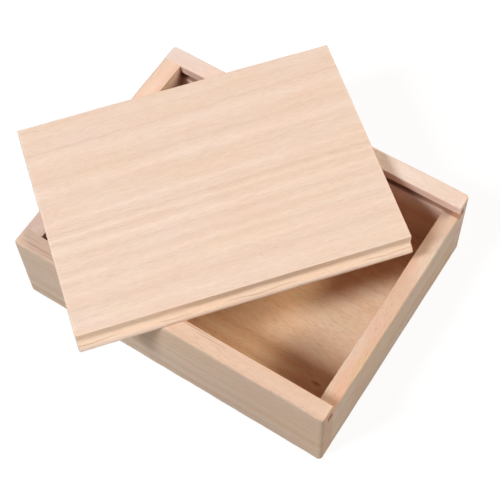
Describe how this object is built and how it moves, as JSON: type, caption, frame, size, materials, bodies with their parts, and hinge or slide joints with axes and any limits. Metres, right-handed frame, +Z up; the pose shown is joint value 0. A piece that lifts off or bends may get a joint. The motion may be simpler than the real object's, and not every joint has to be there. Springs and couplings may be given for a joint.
{
  "type": "sliding lid wooden box",
  "caption": "Low rectangular solid wood box for papers and keepsakes, with a rabbeted lid board that slides in side grooves over a low front wall; the lid lies across the top.",
  "frame": {"origin": "middle of the underside of the box, on the surface that it stands on", "axes": "+X along the box towards its open end, +Y across the box, +Z up"},
  "size_m": [0.2163, 0.2128, 0.0617],
  "materials": {
    "side_board": "unfinished, fine sanded",
    "end_board": "unfinished, fine sanded",
    "bottom_board": "unfinished, planed",
    "lid_board": "unfinished, fine sanded"
  },
  "bodies": {
    "box": {"left_wall": "side_board", "right_wall": "side_board", "rear_wall": "end_board", "front_wall": "end_board", "bottom_panel": "bottom_board"},
    "lid": {"lid": "lid_board"}
  },
  "joints": [
    {"name": "lid_lift", "type": "slide", "parent": "box", "child": "lid", "axis": [0, 0, 1], "range_m": [0, 0.08]}
  ]
}
